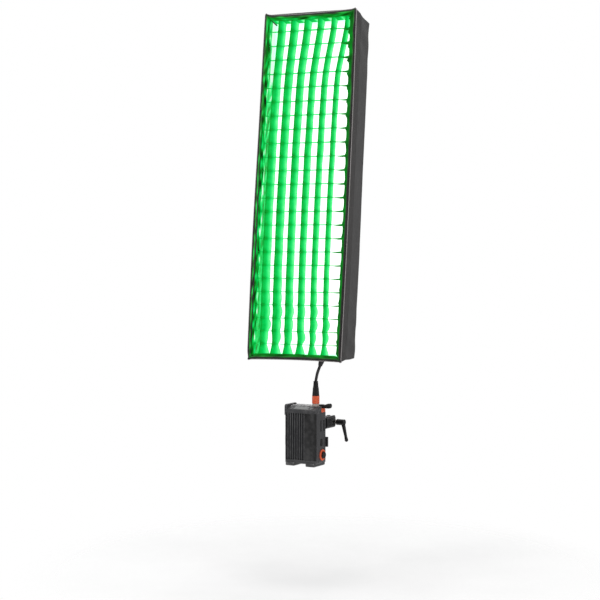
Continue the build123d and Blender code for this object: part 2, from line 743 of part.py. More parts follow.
def build():
    for name, side in (("skirt_left", -1), ("skirt_right", 1)):
        save(name, on_head(skirt_side(side)))
    save("skirt_top", on_head(skirt_end(1)))
    boot_hole = rod_z((BOOT_AT[2] - 20, BOOT_AT[2] + 20), 9.2, BOOT_AT[0], BOOT_AT[1])
    save("skirt_bottom", on_head(skirt_end(-1)) - boot_hole)
    save("back_flap", on_head(back_flap()))
    save("front_band", on_head(front_band()))
    save("rim_wire", on_head(rim_wire()))
    save("grid", on_head(grid()))
    save("diffuser", on_head(diffuser()))
    save("led_mat", on_head(led_mat()))
    save("mat_terminal", on_head(mat_terminal()))
    for (sx, sz), name in zip(CORNERS, CORNER_NAMES):
        save(f"arm_{name}", on_head(arm_with_hole(sx, sz)))
    save("corner_posts", on_head(Compound([post(*c) for c in CORNERS])))
    save("corner_blocks", on_head(Compound([corner_block(*c) for c in CORNERS])))
    save("arm_bolts", on_head(Compound([arm_bolt(*c) for c in CORNERS])))
    save("hub_plate", on_head(hub_plate()))
    save("hub_screws", on_head(Compound([hub_screw(*c) for c in CORNERS])))
    save("tongue", on_head(tongue()))

    save("receiver", receiver())
    save("tilt_bolt", tilt_bolt())
    save("tilt_nut", tilt_nut())
    save("tilt_handle", tilt_handle())
    save("stud_screw", stud_screw())
    save("stud_knob", stud_knob())

    upper, lower = lead_halves()
    save("lead_upper", upper)
    save("lead_lower", lower)
    save("lead_boot", lead_boot())
    save("plug_shell", plug_shell())
    save("coupling_ring", coupling_ring())
    save("lead_socket", lead_socket())

    save("box_shell", on_column(box_shell()))
    save("front_fins", on_column(front_fins()))
    save("front_trim", on_column(front_trim()))
    save("side_plate", on_column(side_plate()))
    save("rear_panel", on_column(rear_panel()))
    save("top_cap", on_column(top_cap()))
    save("bottom_cap", on_column(bottom_cap()))
    save("display", on_column(display()))
    save("control_board", on_column(control_board()))
    save("power_supply", on_column(power_supply()))
    save("fan_frame", on_column(fan_frame()))
    save("fan_rotor", on_column(fan_rotor()))
    save("rocker_switch", on_column(rocker_switch()))
    save("inlet_collar", on_column(inlet_collar()))
    save("inlet_core", on_column(inlet_core()))
    for name, x in zip(("dial_left", "dial_right"), DIAL_X):
        save(name, on_column(dial(x)))
    for i, x in enumerate(BUTTON_X, 1):
        save(f"button_{i}", on_column(button(x)))
    save("cam_base", on_column(cam_base()))
    save("cam_lever", on_column(cam_lever()))

    save("clamp_body", on_column(clamp_body()))
    save("clamp_pad", on_column(clamp_pad()))
    save("clamp_screw", on_column(clamp_screw()))
    save("clamp_handle", on_column(clamp_handle()))
    save("bracket_plate", on_column(bracket_plate()))
    save("bracket_screws", on_column(Compound([bracket_screw(*s) for s in BRACKET_SCREWS])))


build()
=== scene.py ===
import json
import math

import bmesh
import bpy
import numpy as np
from mathutils import Matrix, Vector, noise


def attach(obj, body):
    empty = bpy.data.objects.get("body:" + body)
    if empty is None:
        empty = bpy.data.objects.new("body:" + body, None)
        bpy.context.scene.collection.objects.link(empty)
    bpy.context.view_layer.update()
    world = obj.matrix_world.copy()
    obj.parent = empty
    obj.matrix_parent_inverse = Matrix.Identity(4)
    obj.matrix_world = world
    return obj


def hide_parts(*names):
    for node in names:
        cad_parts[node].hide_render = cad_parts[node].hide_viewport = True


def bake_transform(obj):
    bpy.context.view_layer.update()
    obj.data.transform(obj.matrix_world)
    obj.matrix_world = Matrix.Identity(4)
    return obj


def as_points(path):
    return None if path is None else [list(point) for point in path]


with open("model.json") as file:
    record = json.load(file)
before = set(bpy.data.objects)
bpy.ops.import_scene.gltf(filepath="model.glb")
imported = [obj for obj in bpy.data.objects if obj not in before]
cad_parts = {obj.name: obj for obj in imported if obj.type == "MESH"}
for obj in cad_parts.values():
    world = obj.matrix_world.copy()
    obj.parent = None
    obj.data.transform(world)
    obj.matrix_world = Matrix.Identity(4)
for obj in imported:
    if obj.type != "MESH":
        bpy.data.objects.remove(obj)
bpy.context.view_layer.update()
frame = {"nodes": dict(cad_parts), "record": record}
nodes = frame["nodes"]

# Metres, with x to the right, y backwards and z up. The softbox has its own frame, centred on the tilt
# pivot before it leans back, and HEAD carries it into the part's frame.
PIVOT = Vector((0, 0, 0.078))
LEAN = math.radians(6.95)
HEAD = Matrix.Translation(PIVOT) @ Matrix.Rotation(-LEAN, 4, "X")

# The skirt, and the lining's inset and where it starts across the cloth.
HALF_W = 0.175
FRONT_H = 1.250
BACK_H = 1.214
Y_FRONT = -0.200
Y_BACK = -0.060
DEPTH = Y_BACK - Y_FRONT
CORNER_Z = 0.62
WALL = 0.003
LINING = 0.0036
LINING_START = 0.1475
HEM_DEPTH = 0.052
LIP = 0.010

# The grid, with its border and the narrower strap at its left.
FLANGE = 0.009
GRID_Y = (-0.190, -0.128)
GRID_D = GRID_Y[1] - GRID_Y[0]
STRAP_D = 0.036
GRID_COLS = 7
GRID_ROWS = 25
GRID_HALF = (0.1690, 0.6135)
GRID_PITCH = (2 * GRID_HALF[0] / GRID_COLS, 2 * GRID_HALF[1] / GRID_ROWS)

# The diffuser, the lamp's laminate and the opening in the back flap, as half sizes.
DIFFUSER_Y = -0.119
MAT = (0.150, 0.600)
MAT_Y = -0.068
FLAP = (0.115, 0.550)


def half_height(y):
    """Half the skirt's height at a depth. It narrows a little towards the back."""
    share = (Y_BACK - y) / DEPTH
    return (BACK_H + (FRONT_H - BACK_H) * share) / 2


def smooth(x):
    """An eased step from 0 to 1 as x goes from 0 to 1."""
    x = min(max(x, 0.0), 1.0)
    return x * x * (3 - 2 * x)


def bell(x, width):
    """A bump of height 1 at x = 0."""
    return math.exp(-((x / width) ** 2))


def rough_noise(a, b, c=0.0):
    """Smooth noise between about -0.5 and 0.5, the same on every run."""
    return noise.noise(Vector((a, b, c)))


# Meshes --------------------------------------------------------------------


def new_object(name, points, faces, attributes=None, matrix=HEAD):
    """A mesh object in the part's frame, from points in the softbox's own one unless matrix differs."""
    mesh = bpy.data.meshes.new(name)
    mesh.from_pydata([tuple(p) for p in points], [], faces)
    mesh.transform(matrix)
    for key, values in (attributes or {}).items():
        kind, field = ("FLOAT_VECTOR", "vector") if len(np.shape(values)) == 2 else ("FLOAT", "value")
        layer = mesh.attributes.new(key, kind, "POINT")
        layer.data.foreach_set(field, np.ravel(values).astype(np.float32))
    mesh.update()
    mesh.shade_smooth()
    thing = bpy.data.objects.new(name, mesh)
    bpy.context.scene.collection.objects.link(thing)
    return thing


class Mesh:
    """Collects patches of a grid of points into one object."""

    def __init__(self):
        self.points, self.faces, self.cloth, self.lit = [], [], [], []

    def patch(self, rows, cloth, lit, flip=False, close=False):
        """rows[i][k] are points, cloth[i][k] the place on the cloth and lit[i][k] how bright it is."""
        base, width = len(self.points), len(rows[0])
        for r, c, g in zip(rows, cloth, lit):
            self.points += r
            self.cloth += c
            self.lit += g
        count = len(rows)
        for i in range(count if close else count - 1):
            here, there = base + i * width, base + (i + 1) % count * width
            for k in range(width - 1):
                face = (here + k, there + k, there + k + 1, here + k + 1)
                self.faces.append(face[::-1] if flip else face)

    def make(self, name):
        cloth = [(u, v, 0.0) for u, v in self.cloth]
        return new_object(name, self.points, self.faces, {"cloth": cloth, "lit": self.lit})


# The skirt's outline -------------------------------------------------------

CORNER_STEPS = 5


def stations():
    """Places round the rim as side, place along it and angle: up the right side, then anticlockwise."""
    out = []
    sides = [("right", 150), ("top", 44), ("left", 150), ("bottom", 44)]
    for index, (side, count) in enumerate(sides):
        for i in range(count):
            out.append((side, -1 + 2 * (i + 0.5) / count, None))
        for i in range(CORNER_STEPS):
            out.append((f"corner{index}", 0.0, 90 * (index + (i + 0.5) / CORNER_STEPS)))
    return out


STATIONS = stations()
OUTWARD = {"right": (1, 0), "top": (0, 1), "left": (-1, 0), "bottom": (0, -1)}
CORNER_SIGNS = [(1, 1), (-1, 1), (-1, -1), (1, -1)]
CORNER_R = 0.004
# How far the rim wire draws each front corner out of square.
CORNER_PULL = [-0.0022, -0.0004, 0.0040, 0.0040]


def bow(side, p, t):
    """How far the soft edge stands out from a straight one."""
    arch, from_corner, towards_front = 1 - p * p, 1 - abs(p), (1 - t) ** 1.3
    if side == "right":
        return 0.0035 * arch * (1 - 0.5 * t)
    if side == "left":
        slack = 0.0040 * smooth((0.45 - p) / 0.9) * smooth(from_corner / 0.05)
        return (0.0035 * arch + slack) * (1 - 0.5 * t)
    if side == "top":
        dip = 0.0058 * (1 - abs(p) ** 2.6) * (1 + 0.3 * p)
        return -(0.0040 * smooth(from_corner / 0.08) + dip) * towards_front
    return -0.0030 * arch * towards_front


def outline(station, t, inset=0.0):
    """A point of the outline at depth t, from 0 at the front to 1 at the back, and the way out."""
    side, p, angle = station
    y = Y_FRONT + DEPTH * t
    w, h, r = HALF_W, half_height(y), max(CORNER_R, inset)
    if angle is not None:
        corner, turn = divmod(angle, 90)
        sx, sz = CORNER_SIGNS[int(corner)]
        way = (math.cos(math.radians(angle)), math.sin(math.radians(angle)))
        pull = CORNER_PULL[int(corner)] * (1 - t) ** 2 * math.sin(2 * math.radians(turn))
        out = r + pull - inset
        return sx * (w - r) + way[0] * out, sz * (h - r) + way[1] * out, way
    way = OUTWARD[side]
    sign = 1 if side in ("right", "top") else -1
    if way[0]:
        x, z = way[0] * w, sign * p * (h - r)
        place = z / h
    else:
        x, z = -sign * p * (w - r), way[1] * h
        place = -x / w
    out = bow(side, place, t) - inset
    return x + way[0] * out, z + way[1] * out, way


def round_lengths():
    """How far round the rim each station is."""
    total, out, last = 0.0, [], None
    for s in STATIONS:
        x, z, _ = outline(s, 0.5)
        if last is not None:
            total += math.hypot(x - last[0], z - last[1])
        out.append(total)
        last = (x, z)
    return out


AROUND = round_lengths()


def corner_distance(x, z):
    """How far a point is from the nearest corner."""
    return min(math.hypot(x - sx * HALF_W, z - sz * CORNER_Z) for sx, sz in CORNER_SIGNS)


def swept(name, profile):
    """A closed profile carried round the rim.

    profile(i, station) gives a list of points as (x, y, z), how far along the profile and how lit.
    """
    mesh = Mesh()
    rows, cloth, lit = [], [], []
    for i, station in enumerate(STATIONS):
        ring = profile(i, station)
        ring.append(ring[0])
        rows.append([q[0] for q in ring])
        cloth.append([(AROUND[i], q[1]) for q in ring])
        lit.append([q[2] for q in ring])
    mesh.patch(rows, cloth, lit, close=True)
    thing = mesh.make(name)
    weld(thing)
    return thing


def weld(thing):
    """Joins the vertices that share a place."""
    b = bmesh.new()
    b.from_mesh(thing.data)
    bmesh.ops.remove_doubles(b, verts=b.verts, dist=1e-6)
    bmesh.ops.recalc_face_normals(b, faces=b.faces)
    b.to_mesh(thing.data)
    b.free()
    thing.data.shade_smooth()


# Soft pieces ---------------------------------------------------------------


def outer_relief(a, depth, x, z):
    """Height of the outer cloth: hem band, seam, slack and folds from the corners."""
    height = 0.0009 * (1 - smooth((depth - HEM_DEPTH + 0.0015) / 0.002))
    height -= 0.0011 * bell(depth - HEM_DEPTH, 0.0016)
    height += 0.0012 * rough_noise(a * 3.1, depth * 9, 1.5)
    height += 0.0005 * rough_noise(a * 14, depth * 30, 4.5)
    near = bell(corner_distance(x, z), 0.16)
    height += 0.0016 * near * math.sin(60 * (a % 1.0) + 46 * depth) * smooth(depth / 0.05)
    return height


def inner_relief(a, depth):
    """Creases of the lining, inwards from the wall."""
    crease = abs(rough_noise(a * 17 + depth * 24, depth * 13 - a * 3, 7.0))
    slack = 0.5 + 0.5 * rough_noise(a * 6, depth * 12, 2.0)
    return 0.0006 + 0.0020 * slack + 0.0030 * (0.5 - min(crease, 0.5))


# Depths of the cloth's rows behind the front edge, closer together at the seam and the edges.
OUTER_ROWS = [0.002, 0.004, 0.008, 0.014, 0.022, 0.031, 0.040, 0.046, 0.049, 0.0505, 0.052, 0.0535]
OUTER_ROWS += [0.055, 0.058, 0.066, 0.076, 0.087, 0.098, 0.108, 0.118, 0.127, 0.134, 0.138, 0.140]
INNER_ROWS = [0.134 - 0.008 * k for k in range(16)] + [0.009]


def lining_light(a, depth, high):
    """The lining is brighter towards the diffuser, and on the sides of creases that face it."""
    step = 0.004
    slope = (inner_relief(a, depth + step) - inner_relief(a, depth - step)) / (2 * step)
    share = smooth((depth - 0.008) / 0.085)
    glare = 0.75 * smooth((depth - 0.050) / 0.016) * high
    return 0.26 + 0.36 * share + glare - 2.2 * slope + 0.18 * rough_noise(a * 23, depth * 40, 9.0)


def skirt():
    """The outer cloth and the lining behind it, as one closed shell."""

    def profile(i, station):
        ring, a = [], AROUND[i]
        for depth in OUTER_ROWS:
            t = depth / DEPTH
            x, z, way = outline(station, t)
            out = outer_relief(a, depth, x, z)
            ring.append(((x + way[0] * out, Y_FRONT + depth, z + way[1] * out), depth, 0.0))
        for depth in INNER_ROWS:
            x, z, _ = outline(station, depth / DEPTH, LINING + inner_relief(a, depth))
            light = lining_light(a, depth, smooth((z - 0.26) / 0.24))
            ring.append(((x, Y_FRONT + depth, z), 2 * DEPTH - depth, light))
        return ring

    return swept("skirt", profile)


def hem_profile(width, y0, y1, steps=14, power=4):
    """A rounded rectangle from the outer edge inwards: inset and depth."""
    out = []
    for i in range(steps):
        a = 2 * math.pi * i / steps
        c, s = math.cos(a), math.sin(a)
        c = math.copysign(abs(c) ** (2 / power), c)
        s = math.copysign(abs(s) ** (2 / power), s)
        out.append((width / 2 - c * width / 2, (y0 + y1) / 2 - s * (y1 - y0) / 2))
    return out


def front_hem():
    """The channel round the open front that holds the rim wire."""
    shape = hem_profile(LIP, Y_FRONT - 0.0006, Y_FRONT + 0.0085)

    def profile(i, station):
        ring, a = [], AROUND[i]
        lump = 0.0005 * rough_noise(a * 22, 0.0, 3.0)
        for k, (inset, y) in enumerate(shape):
            x, z, way = outline(station, 0.0, inset - lump)
            start = 0.0062 - 0.0030 * smooth(z / 0.5) if station[0] == "right" else 0.0040
            crumple = 0.5 + rough_noise(a * 30 + inset * 160, 5.0, inset * 200 - a * 12)
            bright = {"left": 0.50, "top": 0.34}.get(station[0], 0.24)
            light = (0.10 + bright * crumple) * smooth((inset - start) / 0.0025)
            ring.append(((x, y + lump, z), 0.0025 * k, light))
        return ring

    return swept("front_hem", profile)


def piping():
    """The thin bound cord on the outer front edge."""

    def profile(i, station):
        x, z, way = outline(station, 0.0, -0.0012)
        ring = []
        for k in range(8):
            a = math.radians(45 * k)
            out, back = 0.0017 * math.cos(a), 0.0017 * math.sin(a)
            ring.append(((x + way[0] * out, Y_FRONT + 0.0032 + back, z + way[1] * out), 0.001 * k, 0.0))
        return ring

    return swept("hem_piping", profile)


# How bright the border is, and how much its crumples show, on each side.
BORDER_LIGHT = {"left": (0.30, 0.55), "top": (0.28, 0.35), "right": (0.20, 0.10)}


def grid_flange():
    """The grid's webbing border, behind the lip, with a wavy inner edge."""

    def profile(i, station):
        ring, a = [], AROUND[i]
        wave = 0.0016 * rough_noise(a * 19, 1.0, 5.0) + 0.0008 * rough_noise(a * 60, 2.0, 5.0)
        _, z0, _ = outline(station, 0.05, LIP)
        side = station[0]
        if side == "right":
            high = smooth((z0 + 0.1) / 0.6)
            row = (z0 + GRID_HALF[1] + row_sag(z0 / (2 * GRID_HALF[1]) + 0.5)) / GRID_PITCH[1]
            arch = (1 - abs(math.sin(math.pi * row))) ** 2
            wave += 0.0030 + 0.0035 * high + arch * (0.0030 + 0.0060 * high)
        inner = LIP - 0.001 + FLANGE + wave
        lift = 0.0012 * rough_noise(a * 16, 7.0, 1.0)
        spots = [(LIP - 0.003, -0.1900), (LIP + 0.003, -0.1903 + lift), (inner - 0.001, -0.1898 + lift)]
        spots += [(inner, -0.1889 + lift), (inner - 0.001, -0.1882 + lift), (LIP + 0.003, -0.1888 + lift)]
        spots += [(LIP - 0.003, -0.1886)]
        for k, (inset, y) in enumerate(spots):
            x, z, way = outline(station, 0.05, inset)
            crumple = rough_noise(a * 30, k * 0.4, 8.0)
            base, rough = BORDER_LIGHT.get(side, (0.20, 0.16))
            light = base + 0.06 * (k / 3 if k < 4 else 1) + rough * crumple
            ring.append(((x, y, z), 0.002 * k, light))
        return ring

    return swept("grid_border", profile)


def row_sag(up):
    """How far a level ribbon's front edge hangs below its even place."""
    return 0.0225 * max(math.sin(math.pi * min(max(up, 0.0), 1.0)), 0.0) ** 0.75


def crossing(i, j, depth):
    """Where two ribbons cross, at a depth from 0 at the front to 1 at the back.

    The grid is soft: its inner uprights hang to the left and are drawn to the right at the top, and its
    levels sag in front and lift behind.
    """
    up, place = j / GRID_ROWS, (i - 1) / (GRID_COLS - 2)
    x = -GRID_HALF[0] + i * GRID_PITCH[0]
    z = -GRID_HALF[1] + j * GRID_PITCH[1]
    if 0 < i < GRID_COLS:
        front = -0.020 + 0.007 * up
        back = -0.012 - 0.013 * place + up * (0.007 + 0.002 * place)
        if i == 1:
            front += 0.0035
        x += front + (back - front) * depth - 0.0092 * math.sin(math.pi * up)
        x += (0.006 + 0.021 * place) * smooth((up - 0.80) / 0.20)
        if j == 0:
            x += -0.006 + 0.016 * depth
        if j == 1:
            x += 0.002 - 0.006 * depth
        x += (0.0010 + 0.0010 * smooth((5 - j) / 5)) * rough_noise(i * 3.7, j * 2.3, 11 + depth)
    if 0 < j < GRID_ROWS:
        z += depth * (0.0015 + 0.0125 * up) - row_sag(up)
        z += (0.0009 + 0.0012 * smooth((j - 21) / 4)) * rough_noise(i * 2.9, j * 3.1, 21 + depth)
    return x, z


def inside(x, y, z):
    """The point, kept clear of the skirt's lining."""
    w, h, t = HALF_W - 0.0052, half_height(y) - 0.0085, (y - Y_FRONT) / DEPTH
    high = h + bow("top", -x / HALF_W, t)
    low = -h - bow("bottom", x / HALF_W, t)
    return min(max(x, -w), w), y, min(max(z, low), high)


def cell_swell(i, j, depth):
    """How far a ribbon bulges in the middle of a cell: most at its back edge and in the lowest cells."""
    low = smooth((6 - j) / 4)
    amount = rough_noise(i * 5.3, j * 4.1, 31) * 0.0020
    amount += low * (0.0060 + 0.0080 * rough_noise(i * 7.7, j * 1.7, 41)) * (1.0 if j else 0.2)
    return amount * (0.2 + 0.8 * depth)


# Places across a ribbon from its front edge to its back one, and half its thickness at each.
DEPTHS = [0.0, 0.04, 0.2, 0.4, 0.6, 0.8, 0.96, 1.0]
THICK = [0.0004, 0.0010, 0.0006, 0.0005, 0.0005, 0.0006, 0.0008, 0.0003]
CELL_STEPS = 6


def strip(mesh, centres, way, lights, length):
    """A ribbon: a grid of centre points with a thickness along way, and both long edges closed."""
    for side in (1, -1):
        rows = []
        for row in centres:
            rows.append([tuple(Vector(p) + side * THICK[k] * way) for k, p in enumerate(row)])
        cloth = [[(length[n], DEPTHS[k] * GRID_D) for k in range(len(DEPTHS))] for n in range(len(centres))]
        mesh.patch(rows, cloth, lights, flip=side < 0)
    for k in (0, len(DEPTHS) - 1):
        rows = [[tuple(Vector(row[k]) + side * THICK[k] * way) for side in (1, -1)] for row in centres]
        cloth = [[(length[n], DEPTHS[k] * GRID_D)] * 2 for n in range(len(centres))]
        mesh.patch(rows, cloth, [[g[k]] * 2 for g in lights], flip=k == 0)


def ribbon_light(depth, cross, tone, a):
    """Dark at the front edge and at the crossings, bright towards the diffuser."""
    light = 0.47 + 0.10 * smooth((depth - 0.30) / 0.25) + 0.25 * smooth((depth - 0.45) / 0.35)
    light -= 0.12 * bell(depth, 0.05)
    light -= 0.15 * bell(cross, 0.0068) * (1 - 0.25 * depth)
    return light + tone + 0.05 * rough_noise(a * 40, depth * 3, tone * 9)


def upright_ribbon(mesh, i):
    """The upright ribbon number i, counted from the left."""
    centres, lights, length = [], [], []
    steps = GRID_ROWS * CELL_STEPS
    tones = [0.05 * rough_noise(i * 2.2, j * 1.3, 51) for j in range(GRID_ROWS + 1)]
    side = i in (0, GRID_COLS)
    for n in range(steps + 1):
        j, share = divmod(n, CELL_STEPS)
        share /= CELL_STEPS
        j2 = min(j + 1, GRID_ROWS)
        row, glow = [], []
        for d in DEPTHS:
            a, b = crossing(i, j, d), crossing(i, j2, d)
            x = a[0] + (b[0] - a[0]) * share
            z = a[1] + (b[1] - a[1]) * share
            if side:
                x += 0.0016 * rough_noise(z * 26, d * 1.5, 61 + i) + (0.0006 if i else -0.0006)
            else:
                x += cell_swell(i, j, d) * math.sin(math.pi * share)
            y = GRID_Y[0] + d * (STRAP_D if i == 0 else GRID_D)
            row.append(inside(x, y, z))
            cross = min(share, 1 - share) * GRID_PITCH[1]
            light = ribbon_light(d, cross, tones[j] * (1 - share) + tones[j2] * share, z)
            if side:
                crumple = rough_noise(z * 34 + d * 2.4, d * 1.8 - z * 8, 71 + i) + 0.35 * (d - 0.4)
                light = 0.38 + 0.12 * d + 0.95 * crumple - 0.12 * bell(cross, 0.004)
            glow.append(light)
        centres.append(row)
        lights.append(glow)
        length.append(n * GRID_PITCH[1] / CELL_STEPS)
    strip(mesh, centres, Vector((1, 0, 0)), lights, length)


def level_ribbon(mesh, j):
    """The level ribbon number j, counted from the bottom."""
    centres, lights, length = [], [], []
    steps = GRID_COLS * CELL_STEPS
    high = smooth((j - 19) / 5)
    for n in range(steps + 1):
        i, share = divmod(n, CELL_STEPS)
        share /= CELL_STEPS
        i2 = min(i + 1, GRID_COLS)
        row, glow = [], []
        for d in DEPTHS:
            a, b = crossing(i, j, d), crossing(i2, j, d)
            x = a[0] + (b[0] - a[0]) * share
            z = a[1] + (b[1] - a[1]) * share
            sag = 0.0012 * rough_noise(i * 4.4, j * 5.1, 81) - 0.0006
            z += sag * math.sin(math.pi * share) * (0.5 + 0.5 * d)
            last = smooth((x - 0.104) / 0.045)
            twist = last * (0.0040 + 0.0080 * smooth(j / 12) + 0.0100 * high)
            z += twist * (d - 0.5)
            y = GRID_Y[0] + 0.0006 + d * (GRID_D - 0.0012)
            row.append(inside(x, y, z))
            right = share * (b[0] - a[0])
            open_part = smooth((right - 0.019) / 0.006)
            open_part *= 1 - smooth((x - 0.105) / 0.02)
            light = 0.40 + 0.12 * smooth(d) + 0.36 * open_part
            glow.append(light - 0.05 * bell(right, 0.005) - 0.17 * last)
        centres.append(row)
        lights.append(glow)
        length.append(n * GRID_PITCH[0] / CELL_STEPS)
    strip(mesh, centres, Vector((0, 0, 1)), lights, length)


def grid():
    """The crossed ribbons, as one lattice."""
    mesh = Mesh()
    for i in range(GRID_COLS + 1):
        upright_ribbon(mesh, i)
    for j in range(GRID_ROWS + 1):
        level_ribbon(mesh, j)
    return mesh.make("grid_ribbons")


def layered_sheet(name, across, up, point):
    """A sheet with a front and a back layer. point(p, q, side) gives the place and how lit it is."""
    mesh = Mesh()
    for side in (0, 1):
        rows, cloth, lit = [], [], []
        for n in range(up + 1):
            line = [point(2 * k / across - 1, 2 * n / up - 1, side) for k in range(across + 1)]
            rows.append([place for place, _ in line])
            cloth.append([(x, z) for (x, _, z), _ in line])
            lit.append([light for _, light in line])
        mesh.patch(rows, cloth, lit, flip=not side)
    thing = mesh.make(name)
    join_edges(thing, across + 1, up + 1)
    return thing


def diffuser():
    """The stretched diffusion cloth, drawn tight to a bound edge."""
    w, h = HALF_W - WALL - 0.0042, half_height(DIFFUSER_Y) - WALL - 0.0042

    def point(p, q, side):
        x, z = p * w, q * h
        edge = min(w - abs(x), h - abs(z))
        belly = 0.0040 * (1 - p * p) * (1 - q**8)
        ruck = 0.0012 * bell(edge, 0.03) * rough_noise((x + z) * 38, (x - z) * 12, 91)
        return (x, DIFFUSER_Y - belly + ruck + 0.0006 * side, z), smooth(edge / 0.030)

    return layered_sheet("diffuser_sheet", 44, 150, point)


def join_edges(thing, width, height):
    """Closes the rim between the front and the back layer of a sheet."""
    b = bmesh.new()
    b.from_mesh(thing.data)
    b.verts.ensure_lookup_table()
    first = list(range(width)) + [n * width + width - 1 for n in range(1, height)]
    first += [(height - 1) * width + k for k in range(width - 2, -1, -1)]
    first += [n * width for n in range(height - 2, 0, -1)]
    shift = width * height
    for a, c in zip(first, first[1:] + first[:1]):
        b.faces.new([b.verts[a], b.verts[c], b.verts[c + shift], b.verts[a + shift]])
    bmesh.ops.recalc_face_normals(b, faces=b.faces)
    b.to_mesh(thing.data)
    b.free()
    thing.data.shade_smooth()


def lamp_mat():
    """The lamp's laminate: a flat face, and a woven back with a bound edge and wiring channels."""

    def point(p, q, side):
        x = MAT[0] * math.copysign(1 - (1 - abs(p)) ** 1.25, p)
        z = MAT[1] * math.copysign(1 - (1 - abs(q)) ** 1.25, q)
        edge = min(MAT[0] - abs(x), MAT[1] - abs(z))
        y = MAT_Y
        if side:
            thick = 0.0048 * min(1.0, 0.35 + 0.65 * smooth(edge / 0.003))
            binding = 0.0006 * smooth((0.012 - edge) / 0.001) * smooth((edge + 0.001) / 0.002)
            channel = 0.0008 * (bell(abs(x) - 0.052, 0.006) + bell(x, 0.005))
            slack = 0.0003 * rough_noise(x * 20, z * 9, 15)
            y += thick + binding * 0.5 + channel * 0.6 + slack
        return (x, y, z), smooth((0.0125 - edge) / 0.0008)

    return layered_sheet("lamp_mat", 60, 200, point)


def back_flap():
    """The cloth ring drawn behind the lamp mat by an elastic hem."""
    spots = [0.0, 0.03, 0.08, 0.16, 0.26, 0.38, 0.50, 0.62, 0.74, 0.84, 0.92, 0.965, 1.0]

    def inner_point(station):
        side, p, angle = station
        r = 0.030
        if angle is not None:
            sx, sz = CORNER_SIGNS[int(angle // 90)]
            a = math.radians(angle)
            return sx * (FLAP[0] - r) + r * math.cos(a), sz * (FLAP[1] - r) + r * math.sin(a)
        way = OUTWARD[side]
        sign = 1 if side in ("right", "top") else -1
        if way[0]:
            return way[0] * FLAP[0], sign * p * (FLAP[1] - r)
        return -sign * p * (FLAP[0] - r), way[1] * FLAP[1]

    def profile(i, station):
        a = AROUND[i]
        x0, z0, _ = outline(station, 1.0, 0.0008)
        x1, z1 = inner_point(station)
        gather = math.sin(a * 2 * math.pi / 0.021 + 2.5 * rough_noise(a * 9, 3.0))
        ring = []
        for layer, order in ((1, spots), (-1, spots[::-1])):
            for s in order:
                lift = 0.0009 * smooth((s - 0.45) / 0.5) * gather
                lift += 0.0006 * rough_noise(a * 12 + s * 3, s * 4, 6.0)
                hem = 0.0011 * smooth((s - 0.86) / 0.05)
                y = -0.0612 + lift + layer * (0.0007 + hem) * (1 - 0.9 * smooth((s - 0.965) / 0.035))
                pull = 0.0018 * gather * smooth((s - 0.9) / 0.1)
                x, z = x0 + (x1 - x0) * s, z0 + (z1 - z0) * s
                size = math.hypot(x1 - x0, z1 - z0)
                x, z = x + (x0 - x1) / size * pull, z + (z0 - z1) / size * pull
                ring.append(((x, y, z), s * size, 0.0))
        return ring

    return swept("back_flap_cloth", profile)


# The lead ------------------------------------------------------------------

# The lead's route from the boot down to the plug, in the part's frame, and its diameter.
LEAD = [
    (0.048, -0.1445, -0.546),
    (0.041, -0.139, -0.559),
    (0.0315, -0.129, -0.574),
    (0.0235, -0.118, -0.590),
    (0.0175, -0.110, -0.606),
]
LEAD_D = 0.0105


def smooth_path(points):
    """The curve that the control points draw, as points."""
    curve = bpy.data.curves.new("lead_line", "CURVE")
    curve.dimensions = "3D"
    spline = curve.splines.new("NURBS")
    spline.points.add(len(points) - 1)
    for point, place in zip(spline.points, points):
        point.co = (*place, 1)
    spline.order_u = 3
    spline.use_endpoint_u = True
    spline.resolution_u = 16
    thing = bpy.data.objects.new("lead_line", curve)
    bpy.context.scene.collection.objects.link(thing)
    bpy.context.view_layer.update()
    line = bpy.data.meshes.new_from_object(thing)
    path = [v.co.copy() for v in line.vertices]
    bpy.data.objects.remove(thing)
    bpy.data.meshes.remove(line)
    return path


def lead():
    """The lead as a tube, and the points that it follows."""
    path = smooth_path(LEAD)
    points, faces, around = [], [], 20
    side = Vector((0, 1, 0))
    for n, p in enumerate(path):
        way = (path[min(n + 1, len(path) - 1)] - path[max(n - 1, 0)]).normalized()
        side = (side - way * side.dot(way)).normalized()
        other = way.cross(side)
        for k in range(around):
            a = 2 * math.pi * k / around
            points.append(p + (side * math.cos(a) + other * math.sin(a)) * LEAD_D / 2)
    for n in range(len(path) - 1):
        here, there = n * around, (n + 1) * around
        for k in range(around):
            m = (k + 1) % around
            faces.append((here + k, here + m, there + m, there + k))
    last = (len(path) - 1) * around
    faces.append(tuple(range(around))[::-1])
    faces.append(tuple(last + k for k in range(around)))
    thing = new_object("lead_cord", points, faces, matrix=Matrix.Identity(4))
    return thing, [tuple(p) for p in path]


# Materials -----------------------------------------------------------------


def linear(code):
    """A screen colour, such as 2b2b2b, as the linear values that the nodes use."""
    out = []
    for k in (0, 2, 4):
        c = int(code[k : k + 2], 16) / 255
        out.append(c / 12.92 if c <= 0.04045 else ((c + 0.055) / 1.055) ** 2.4)
    return (*out, 1.0)


def put(tree, kind, inputs=None, **settings):
    """A node with its settings, its input values and its links."""
    n = tree.nodes.new(kind)
    for key, value in settings.items():
        setattr(n, key, value)
    for key, value in (inputs or {}).items():
        if isinstance(value, bpy.types.NodeSocket):
            tree.links.new(value, n.inputs[key])
        else:
            n.inputs[key].default_value = value
    return n


def math_node(tree, operation, a, b=0.0, c=0.0):
    return put(tree, "ShaderNodeMath", {0: a, 1: b, 2: c}, operation=operation).outputs[0]


def map_range(tree, value, start, end, low=0.0, high=1.0):
    return put(tree, "ShaderNodeMapRange", {0: value, 1: start, 2: end, 3: low, 4: high}).outputs[0]


